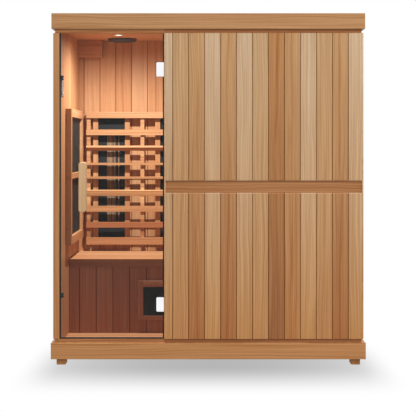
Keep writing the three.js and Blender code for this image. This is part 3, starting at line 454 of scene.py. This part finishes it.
# %% Cornice, plinth, posts and rails
CORNICE = {"honey": srgb(179, 133, 90), "amber": srgb(175, 128, 86)}
PLINTH = {"honey": srgb(193, 138, 89), "amber": srgb(189, 133, 84)}
TRIM_PITCH = 0.12
for name, tones, solid in (("cornice", CORNICE, "roof_cornice"), ("plinth", PLINTH, "plinth_frame")):
    wear(timber(name, tones, axis("x"), axis("z"), 0.0, TRIM_PITCH, figure=OUTER_FIGURE), solid)

POST = {"amber": srgb(182, 131, 87)}
# The posts also turn darker towards the floor, a painted shade
POST_SHADED_FOOT = {"amber": srgb(182, 125, 77)}
POST_PITCH = 1.8
feet = [f"foot_{end}_{hand}" for end in ("front", "back") for hand in ("left", "right")]
posts = timber("posts", POST, axis("z"), axis("x"), 0.0, POST_PITCH, foot=POST_SHADED_FOOT)
wear(posts, "door_jamb", *feet)

RAIL = {"brown": srgb(166, 114, 72)}
RAIL_PITCH = 0.4
# A painted shadow along the upper edge of the set-back rail, reaching this far down
RAIL_PAINTED_SHADOW = 0.011
RAIL_FIGURE = 7.0
rails = timber(
    "rails", RAIL, axis("x"), axis("z"), rail_high - RAIL_PITCH, RAIL_PITCH,
    groove_shade=RAIL_PAINTED_SHADOW, figure=RAIL_FIGURE,
)
wear(rails, "front_mid_rail", "sill_rail", "head_rail")

PLY = {"birch": srgb(206, 178, 134)}
SHEET_FIRST, SHEET_PITCH = -2.0, 3.4
wear(timber("plywood", PLY, axis("x"), axis("y"), SHEET_FIRST, SHEET_PITCH), "roof_cover")

# %% [markdown]
# The room is lined with bare cedar, which has kept its orange. One board could be repeated all round, but
# the eye soon finds a repeat. So the side walls, the ceiling and the floor draw their tones by lot. The
# small box in the corner, which hides the wiring, is made of the same timber.

# %% The lining
INNER = {
    "peach": srgb(198, 145, 101),
    "honey": srgb(196, 140, 94),
    "amber": srgb(192, 135, 88),
    "copper": srgb(184, 127, 84),
}
INNER_BOARD = 0.1006
BACK_FACE = 0.517  # the inner face of the back wall
FULL_BOARDS = 9  # on a side wall, counted from the back
SIDE_LINING_FIRST = BACK_FACE - FULL_BOARDS * INNER_BOARD


def lining(name, letter, first, run="z", pitch=INNER_BOARD):
    """Bare boards that run along one axis, side by side along the axis with this letter."""
    return timber(name, INNER, axis(run), axis(letter), first, pitch, groove_shade=GROOVE_SHADE_REACH)


wear(lining("side lining", "y", SIDE_LINING_FIRST), "left_lining", "right_lining")
wear(lining("ceiling and floor", "y", SIDE_LINING_FIRST, "x"), "ceiling_panel", "floor_deck")
WIRING_PITCH = 1.9
wear(timber("wiring box", INNER, axis("x"), axis("z"), 0.0, WIRING_PITCH), "wiring_box")

# %% [markdown]
# The back wall shows most, so its boards are named, and some have a dark heart. The lining of the front
# wall is seen only as its edge beside the door, and in the narrow recesses under the cornice and over the
# plinth. It could be one tone, but it is pale as the boards where they stand, with their painted shade
# towards the floor, and a dark brown above and below them, a painted shade for the recesses. So it is
# laid as three broad boards on top of each other.

# %% The back wall and the edge beside the door
WALL_ORDER = ["copper", "peach", "honey", "amber", "peach", "amber", "honey", "copper", "peach"]
WALL_ORDER += ["honey", "amber", "peach", "copper", "honey", "peach", "amber", "honey"]
WALL_STREAKED = (3, 5, 10, 15)
WALL_GROOVE = -0.789
wall = timber(
    "back lining", INNER, axis("z"), axis("x"), WALL_GROOVE - INNER_BOARD, INNER_BOARD,
    order=WALL_ORDER, streaked=WALL_STREAKED, groove_shade=GROOVE_SHADE_REACH,
)
wear(wall, "back_lining")

# brown is a painted shade for the recesses above and below the boards; pale is the boards' own tone
EDGE_TONES_AND_SHADE = {"brown": srgb(150, 98, 60), "pale": OUTER["pale"]}
EDGE_SHADED_FOOT = dict(EDGE_TONES_AND_SHADE, pale=SHADED_FOOT["pale"])
EDGES_ORDER = ["brown", "pale", "brown"]
boards_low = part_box("front_boards_lower")[0].z
boards_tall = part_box("front_boards_upper")[1].z - boards_low
edges = timber(
    "front lining", EDGE_TONES_AND_SHADE, axis("x"), axis("z"), boards_low - boards_tall, boards_tall,
    order=EDGES_ORDER, foot=EDGE_SHADED_FOOT,
)
wear(edges, "front_lining")

# %% [markdown]
# The bench has a seat of the lining's timber and a front of boards in two deep, redder tones, which are a
# painted shade for the front under the seat. Its rail and the calf heater's frame share them. The front's
# boards are named in their order.

# %% The bench
SEAT_FIRST, SEAT_BOARD = -0.106, 0.104
wear(lining("bench top", "y", SEAT_FIRST, "x", SEAT_BOARD), "bench_top")

# Deep, red tones: a painted shade for the front under the seat
SEAT_SHADE_TONES = {"umber": srgb(172, 118, 90), "rust": srgb(158, 104, 78)}
BENCH_ORDER = ["umber", "umber", "umber", "rust", "rust", "rust", "umber", "rust", "umber"]
BENCH_ORDER += ["umber", "rust", "umber", "rust", "rust", "umber", "rust", "umber"]
BENCH_BOARD = 0.0984
BENCH_GROOVE = -0.758
bench = timber(
    "bench front", SEAT_SHADE_TONES, axis("z"), axis("x"), BENCH_GROOVE - BENCH_BOARD, BENCH_BOARD,
    order=BENCH_ORDER, groove_shade=GROOVE_SHADE_REACH,
)
wear(bench, "bench_front_panel")
# The bench's rail takes the same painted shade tones
BENCH_RAIL_PITCH = 0.6
wear(timber("bench rail", SEAT_SHADE_TONES, axis("x"), axis("z"), 0.0, BENCH_RAIL_PITCH), "bench_rail")

# %% [markdown]
# The heaters sit in frames of rails and stiles. The grain of each length runs its own way, so it turns at
# every corner. Each length could have its own material, but a frame is one solid. So a mask finds the
# upright lengths, and on them length and width swap places.

# %% Heater frames
FRAME_FIRST, FRAME_PITCH = 0.01, 0.13
BACK_STILE, SIDE_STILE, CALF_STILE = 0.032, 0.046, 0.033


def framed(upright, letter):
    """The ways along and across a frame. upright is 1 on its stiles, and the letter is its rails' axis."""
    def along(place):
        pick = upright(place)
        return pick * place.part(2) + (1.0 - pick) * place.part(AXES[letter])

    def across(place):
        pick = upright(place)
        return pick * place.part(AXES[letter]) + (1.0 - pick) * place.part(2)

    return along, across


def heater_frame(name, letter, stile, tones=INNER):
    """A frame with stiles of that width at both ends."""
    low, high = (corner[AXES[letter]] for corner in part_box(name))
    centre, inner = (low + high) / 2, (high - low) / 2 - stile
    ways = framed(lambda place: abs(place.part(AXES[letter]) - centre).above(inner), letter)
    wear(timber(name, tones, *ways, FRAME_FIRST, FRAME_PITCH), name)


BACK_HEATERS = range(1, 5)
for number in BACK_HEATERS:
    heater_frame(f"back_heater_frame_{number}", "x", BACK_STILE)
for hand in ("left", "right"):
    heater_frame(f"side_heater_frame_{hand}", "y", SIDE_STILE)
# The calf heater's frame under the seat takes the painted shade tones
heater_frame("calf_heater_frame", "x", CALF_STILE, SEAT_SHADE_TONES)

# %% [markdown]
# A backrest is a row of slats on upright battens. Slats and battens could be told apart by their places
# across the back, but the battens all lie behind the slats, so depth is the simplest mask. Each slat has
# its own tone, and a bold grain. The second slat from the bottom is darker and redder, a painted shade
# where the light falls off downwards.

# %% Backrests
BATTEN_FACE = 0.468  # the battens lie behind this depth, and the slats before it
# russet, on the second slat from the bottom, is a painted shade
SLATS = dict(INNER, russet=srgb(171, 107, 67), straw=srgb(216, 160, 108))
SLAT_ORDER = ["copper", "russet", "amber", "straw", "honey", "honey", "honey", "honey", "peach"]
SLAT_FIRST, SLAT_PITCH = 0.55, 0.1
SLAT_FIGURE = 5.0
ways = framed(lambda place: place.part(1).above(BATTEN_FACE), "x")
slats = timber("slats", SLATS, *ways, SLAT_FIRST, SLAT_PITCH, order=SLAT_ORDER, figure=SLAT_FIGURE)
wear(slats, "backrest_left", "backrest_right")

# %% [markdown]
# The door's handles are pale ash, sanded smooth for the hand. A clear coat could give them their shine, but
# bare wood that is handled only grows a little smoother, so they have the timber finish with a lower
# roughness.

# %% Handles
ASH = {"ash": srgb(206, 168, 126)}
HANDLE_FIRST, HANDLE_PITCH = -1.0, 1.7
HANDLE_ROUGH = 0.4
handles = timber("handles", ASH, axis("z"), axis("x"), HANDLE_FIRST, HANDLE_PITCH, rough=HANDLE_ROUGH)
wear(handles, "handle_outer", "handle_inner")

# %% [markdown]
# The heaters are dark carbon film behind a fine weave. The four on the back wall have a fluted reflector
# down the middle and a thin lamp beside it. A true metal would mirror the slats in front and turn to noise
# in the narrow gaps, so the reflector is painted in warm brushed bronze tones, a painted reflection of the
# warm room, which stays calm from every side.

# %% Heaters
FILM, FILM_WEAVE = srgb(29, 30, 31), srgb(40, 40, 40)
FILM_SHINE = 0.2
FILM_RELIEF = 0.0002
WEAVE_ACROSS, WEAVE_ALONG, DUST = 900, 5, 9  # repeats in a metre
REFLECTOR_LOW, REFLECTOR_HIGH, REFLECTOR_HALF = 0.736, 1.319, 0.0286
LAMP_OFFSET, LAMP_HALF = 0.045, 0.0042
BRONZE_REFLECTION_DARK, BRONZE_REFLECTION_LIGHT, LAMP_TUBE = srgb(86, 72, 58), srgb(160, 132, 104), srgb(150, 118, 90)
BRUSHED_ACROSS, BRUSHED_ALONG, HEATER_STEP = 260, 2, 9


def reflector(place, colour, centre):
    """Lays the reflector and its lamp over the film's colour."""
    offset, height = place.part(0) - centre, place.part(2)
    tall = height.above(REFLECTOR_LOW) * (1.0 - height.above(REFLECTOR_HIGH))
    trough = (1.0 - abs(offset).above(REFLECTOR_HALF)) * tall
    lamp = (1.0 - abs(offset - LAMP_OFFSET).above(LAMP_HALF)) * tall
    sample = place.vector(offset * BRUSHED_ACROSS, height * BRUSHED_ALONG, centre * HEATER_STEP)
    # The bronze tones paint what the metal would reflect: a painted reflection of the warm room
    bronze_reflection = sample.noise(3.0, 0.6).ramp(0.36, 0.62).mix(BRONZE_REFLECTION_DARK, BRONZE_REFLECTION_LIGHT)
    return lamp.mix(trough.mix(colour, bronze_reflection), LAMP_TUBE)


def film(name, centre=None):
    """Carbon film, with a reflector about centre if there is one."""
    material, place = new_material(name)
    across, height = place.part(0) + place.part(1), place.part(2)
    weave = place.vector(across * WEAVE_ACROSS, height * WEAVE_ALONG, 0.0).noise(2.0)
    cloud = place.vector(across * DUST, height * DUST, 2.0).noise(3.0)
    colour = weave.ramp(*MOST).mix(FILM, FILM_WEAVE)
    if centre is not None:
        colour = reflector(place, colour, centre)
    values = {
        "Base Color": colour,
        "Roughness": cloud.ramp(*MOST, 0.55, 0.75),
        "Specular IOR Level": FILM_SHINE,
        "Normal": bump(weave, FILM_RELIEF),
    }
    surface(place.node("ShaderNodeBsdfPrincipled", values))
    return material


for number in BACK_HEATERS:
    panel = f"back_heater_panel_{number}"
    low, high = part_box(panel)
    wear(film(f"back film {number}", (low.x + high.x) / 2), panel)
wear(film("plain film"), "side_heater_panel_left", "side_heater_panel_right", "calf_heater_panel")

# %% [markdown]
# The door is one sheet of clear toughened glass. A glass shader would bend the light twice and darken the
# room behind it, so this pane lets light pass straight through by its alpha instead. It hides almost
# nothing seen square on, and more the more it is seen at a slant, by the fifth power that reflections
# follow. Faint smears vary its tone.

# %% The glass door
PANE, PANE_SMEAR = (0.29, 0.38, 0.40, 1.0), (0.33, 0.42, 0.44, 1.0)
SMEARS = 3  # in a metre
SQUARE_ON, AT_A_SLANT, SLANT_POWER = 0.018, 0.6, 5.0

material, place = new_material("clear glass")
smear = place.vector(place.part(0) * SMEARS, place.part(2) * SMEARS, 0.0).noise(3.0)
slant = place.node("ShaderNodeLayerWeight", {"Blend": 0.5}, "Facing")
values = {
    "Base Color": smear.ramp(*MOST).mix(PANE, PANE_SMEAR),
    "Roughness": smear.ramp(*MOST, 0.02, 0.06),
    "Alpha": slant ** SLANT_POWER * AT_A_SLANT + SQUARE_ON,
}
surface(place.node("ShaderNodeBsdfPrincipled", values))
wear(material, "door_glass")

# %% [markdown]
# The seal, the catches, the hinges, the keypad and the power unit are moulded plastic, rubber or satin
# metal. One flat colour would do from afar, but moulded surfaces have a fine grit, and fingers polish them
# in places. So one function mixes two close tones by a soft cloud and lets the roughness follow it.

# %% Moulded and metal fittings
CLOUDS = 24.0  # in a metre
PLASTIC_GRIT, PLASTIC_RELIEF = 900.0, 0.0002
METAL_GRIT, METAL_RELIEF = 700.0, 0.00003
GRIT_STRENGTH = 0.5


def plain(name, colour, dusty, rough, metal=0.0, grit=PLASTIC_GRIT, relief=PLASTIC_RELIEF):
    """A moulded or metal surface, dusty in places, with that many specks of grit in a metre."""
    material, place = new_material(name)
    cloud = place.noise(4.0, 0.5, scale=CLOUDS)
    specks = place.noise(2.0, 0.5, scale=grit)
    values = {
        "Base Color": cloud.ramp(0.35, 0.7).mix(colour, dusty),
        "Roughness": cloud.ramp(*MOST, rough - 0.05, rough + 0.08),
        "Metallic": metal,
        "Normal": bump(specks, relief, GRIT_STRENGTH),
    }
    surface(place.node("ShaderNodeBsdfPrincipled", values))
    return material


wear(plain("black seal", srgb(14, 15, 17), srgb(24, 25, 27), rough=0.7), "door_seal")
catches = plain("black catch", srgb(14, 15, 17), srgb(26, 27, 29), rough=0.5)
wear(catches, "door_catch_upper", "door_catch_lower")
hinges = [f"hinge_{kind}_{level}" for kind in ("clamp", "bracket") for level in ("upper", "lower")]
satin = plain(
    "bright metal", srgb(250, 251, 253), srgb(246, 247, 250), rough=0.28,
    metal=1.0, grit=METAL_GRIT, relief=METAL_RELIEF,
)
wear(satin, *hinges)
buttons = [f"keypad_button_{number}" for number in range(1, 5)]
wear(plain("keypad", srgb(152, 137, 130), srgb(138, 123, 116), rough=0.4), "keypad_housing")
wear(plain("buttons", srgb(196, 198, 200), srgb(184, 186, 190), rough=0.35), *buttons)
wear(plain("power unit", srgb(40, 43, 46), srgb(54, 57, 60), rough=0.5), "power_unit")

# %% [markdown]
# The ceiling speaker has a grille of small holes. Thousands of holes could be cut, but each is smaller than
# a pixel from where anyone stands, so an even pattern of cells makes dark spots that also dent the surface.

# %% The speaker
HOLES = 260.0  # in a metre
GRILLE_RELIEF = 0.0006

material, place = new_material("speaker grille")
cells = {"Vector": place, "Scale": HOLES, "Randomness": 0.0}
web = place.node("ShaderNodeTexVoronoi", cells, "Distance").ramp(0.2, 0.35)
values = {
    "Base Color": web.mix(srgb(26, 28, 31), srgb(72, 74, 78)),
    "Roughness": web.ramp(0.0, 1.0, 0.8, 0.45),
    "Normal": bump(web, GRILLE_RELIEF),
}
surface(place.node("ShaderNodeBsdfPrincipled", values))
wear(material, "ceiling_speaker")

# %% [markdown]
# The downlight is a glowing lens in a pale rim. The lens could be a solid of its own, but it lies flush in
# the rim, so its glow is drawn by the distance from the middle. The glow itself is kept from lighting the
# room, because a small bright face makes a noisy picture. A lamp further down does that.

# %% The downlight
LENS, LENS_EDGE = 0.019, 0.023
GLOW = (1.0, 0.86, 0.68, 1.0)
GLOW_STRENGTH = 6.0

material, place = new_material("lamp")
low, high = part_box("downlight")
lens_middle = Vector(((low.x + high.x) / 2, (low.y + high.y) / 2, low.z))
reach = place.node("ShaderNodeVectorMath", {0: place, 1: lens_middle}, "Value", operation="DISTANCE")
lens = reach.ramp(LENS, LENS_EDGE, 1.0, 0.0)
values = {
    "Base Color": lens.mix(srgb(226, 214, 200), srgb(255, 244, 224)),
    "Roughness": reach.ramp(0.0, 0.03, 0.3, 0.45),
    "Emission Color": lens.mix(BLACK, GLOW),
    "Emission Strength": GLOW_STRENGTH,
}
surface(place.node("ShaderNodeBsdfPrincipled", values))
material.cycles.emission_sampling = "NONE"
wear(material, "downlight")

# %% [markdown]
# Planed timber never has a knife edge. The edges could be rounded in the solids, but so fine a form is
# heavy to keep there. A small bevel after the sewing lets the edges of frames, slats and trims catch the
# light.

# %% Eased edges
EASE = 0.0015

eased = [name for name in nodes if "heater_frame" in name or "backrest" in name]
eased += ["bench_rail", "wiring_box", "roof_cornice", "plinth_frame", "door_jamb", "front_mid_rail"]
for name in eased:
    bevel = nodes[name].modifiers.new("eased edges", "BEVEL")
    bevel.width = EASE
    bevel.segments = 2
    bevel.limit_method = "ANGLE"
    bevel.harden_normals = True
print(len(eased), "solids eased")

# %% [markdown]
# The cabin stands on a white studio floor, with a soft shadow in front of its plinth. Lamps could cast that
# shadow, but then they would also have to light the floor to an even white. So the floor glows white by
# itself, and the shadow is drawn on it: rounded from side to side, deepest at the plinth and gone within a
# metre.

# %% The floor
FLOOR_SIZE, FLOOR_DROP = 40.0, 0.0005
SHADOW_HALF, SHADOW_ROUND = 1.05, 0.45
SHADOW_SIDE = (0.80, 1.06)  # between these places it fades, in metres from the middle
SHADOW_FRONT = (-1.44, -0.56)
SHADOW_BACK = (-0.40, 0.60)
SHADOW_DEPTH = 0.53

bpy.ops.mesh.primitive_plane_add(size=FLOOR_SIZE, location=(0.0, 0.0, -FLOOR_DROP))
floor = bpy.context.object
floor.name = "floor"
material, place = new_material("pale floor")
sideways = place.part(0) / SHADOW_HALF
roundness = (1.0 - sideways * sideways).larger(0.0) ** SHADOW_ROUND
side_way = roundness * abs(place.part(0)).ramp(*SHADOW_SIDE, 1.0, 0.0)
front_way = place.part(1).ramp(*SHADOW_FRONT)
back_way = place.part(1).ramp(*SHADOW_BACK, 1.0, 0.0)
shadow = side_way * front_way * back_way * SHADOW_DEPTH
surface(place.node("ShaderNodeEmission", {"Color": shadow.mix(WHITE, BLACK), "Strength": 1.0}))
floor.data.materials.append(material)
floor.visible_diffuse = False
material.cycles.emission_sampling = "NONE"
print("floor laid")

# %% [markdown]
# Soft daylight comes from all round. One white sky could light the cabin and be its background as well, but
# it would wash out the shade between the boards. So the sky looks white to the camera, in metal and through
# glass, and lights the cabin only dimly.

# %% The sky
DAYLIGHT = (0.26, 0.26, 0.27, 1.0)

world = bpy.data.worlds.new("studio")
bpy.context.scene.world = world
world.use_nodes = True
world.node_tree.nodes.clear()
rays = ("Is Camera Ray", "Is Glossy Ray", "Is Transmission Ray")
seen, mirrored, refracted = (Wire(world.node_tree).node("ShaderNodeLightPath", output=ray) for ray in rays)
backdrop = seen.larger(mirrored).larger(refracted).mix(DAYLIGHT, WHITE)
sky = backdrop.node("ShaderNodeBackground", {"Color": backdrop, "Strength": 1.0})
sky.node("ShaderNodeOutputWorld", {"Surface": sky}, output=None)
print("sky ready")

# %% [markdown]
# A studio lights the cabin with large lamps, and the room has a light of its own. If the large lamps shone
# in through the glass, the room would lose its evening glow. They could be screened with black cards, but
# light linking is simpler: the solids are sorted into two groups, and each studio lamp lights one of them.

# %% Inside and outside
INSIDE = ("lining", "ceiling", "bench", "heater", "backrest", "wiring", "downlight", "keypad", "deck")

outside = bpy.data.collections.new("outside")
inside = bpy.data.collections.new("inside")
for name, solid in nodes.items():
    indoors = name != "front_lining" and any(word in name for word in INSIDE)
    (inside if indoors else outside).objects.link(solid)

# %% [markdown]
# Lamps stand in front, behind, at both sides and above, so that the cabin is well lit from wherever it is
# seen. One strong lamp could do for the front alone, but its shadows would be hard. The key light is the
# smallest, and gives the grooves their shade. The last lamp is inside, and stands for the light that the
# bench and the floor send back up to the ceiling.

# %% Studio lamps
LAMP_SHAPE = 0.75  # a lamp's height as a share of its width


def studio_light(
    name, place, power, size=4.0, target=(0.0, 0.0, 0.9), group=outside, tint=(1.0, 1.0, 1.0),
):
    """A soft lamp for one group of solids, of that power in watts, that looks at the target."""
    light = bpy.data.lights.new(name, "AREA")
    light.shape = "RECTANGLE"
    light.size = size
    light.size_y = LAMP_SHAPE * size
    light.energy = power
    light.color = tint
    lamp = bpy.data.objects.new(name, light)
    bpy.context.scene.collection.objects.link(lamp)
    lamp.location = place
    lamp.rotation_euler = (Vector(target) - Vector(place)).to_track_quat("-Z", "Y").to_euler()
    lamp.visible_camera = False
    lamp.visible_glossy = False
    lamp.light_linking.receiver_collection = group
    print(name, "of", power, "W")


studio_light("key light", (3.0, -5.0, 4.6), 190.0, size=1.4)
studio_light("front light", (-0.6, -5.5, 1.7), 100.0, target=(0.0, 0.0, 0.6))
studio_light("back light", (0.6, 5.5, 4.2), 280.0)
studio_light("left light", (-5.5, 0.4, 4.0), 220.0)
studio_light("right light", (5.5, 0.4, 4.0), 220.0)
studio_light("top light", (0.0, 0.0, 6.5), 50.0)

ROSY = (0.95, 0.76, 0.76)
studio_light(
    "returned light", (-0.45, 0.1, 1.4), 1.0, size=0.8, target=(-0.45, 0.1, 2.0), group=inside, tint=ROSY,
)

# %% [markdown]
# The room's own light falls from the ceiling. A lamp exactly at the downlight would leave the bench dark,
# since light weakens with the square of the distance and a real room has more lamps than one. So a small
# spot hangs a little in front of the downlight, and its light weakens only in step with the distance. Being
# small, it throws the crisp shadows of the slats on the wall.

# %% The room lamp
ROOM_POWER = 82.0
ROOM_TINT = (0.93, 0.98, 1.0)
ROOM_CONE, ROOM_BLEND = math.radians(175.0), 0.9
ROOM_RADIUS = 0.012
ROOM_ASIDE, ROOM_FORWARD, ROOM_DROP = 0.06, 0.16, 0.004

light = bpy.data.lights.new("room light", "SPOT")
light.energy = ROOM_POWER
light.color = ROOM_TINT
light.spot_size = ROOM_CONE
light.spot_blend = ROOM_BLEND
light.shadow_soft_size = ROOM_RADIUS
light.use_nodes = True
light.node_tree.nodes.clear()
steady = Wire(light.node_tree).node("ShaderNodeLightFalloff", {"Strength": 1.0}, "Linear")
beam = steady.node("ShaderNodeEmission", {"Strength": steady})
beam.node("ShaderNodeOutputLight", {"Surface": beam}, output=None)
lamp = bpy.data.objects.new("room light", light)
bpy.context.scene.collection.objects.link(lamp)
lamp.location = lens_middle + Vector((ROOM_ASIDE, -ROOM_FORWARD, -ROOM_DROP))
print("room light at", [round(value, 3) for value in lamp.location])

# %% [markdown]
# The camera stands well back, at the height of the eye. It could be tilted down to take in the whole cabin,
# but then the walls would lean. So it stays level and the lens is shifted down, as on a view camera.

# %% Camera
EYE = (0.0, -7.733, 1.221)
SENSOR_WIDTH, FOCAL_LENGTH = 36.0, 112.4
SHIFT_X, SHIFT_Y = -0.0007, -0.147

camera_data = bpy.data.cameras.new("camera")
camera = bpy.data.objects.new("camera", camera_data)
bpy.context.scene.collection.objects.link(camera)
camera.location = EYE
camera.rotation_euler = (math.radians(90.0), 0.0, 0.0)
camera_data.sensor_width = SENSOR_WIDTH
camera_data.lens = FOCAL_LENGTH
camera_data.shift_x = SHIFT_X
camera_data.shift_y = SHIFT_Y
bpy.context.scene.camera = camera
bpy.context.scene.view_settings.view_transform = "Standard"
print("camera at", EYE)
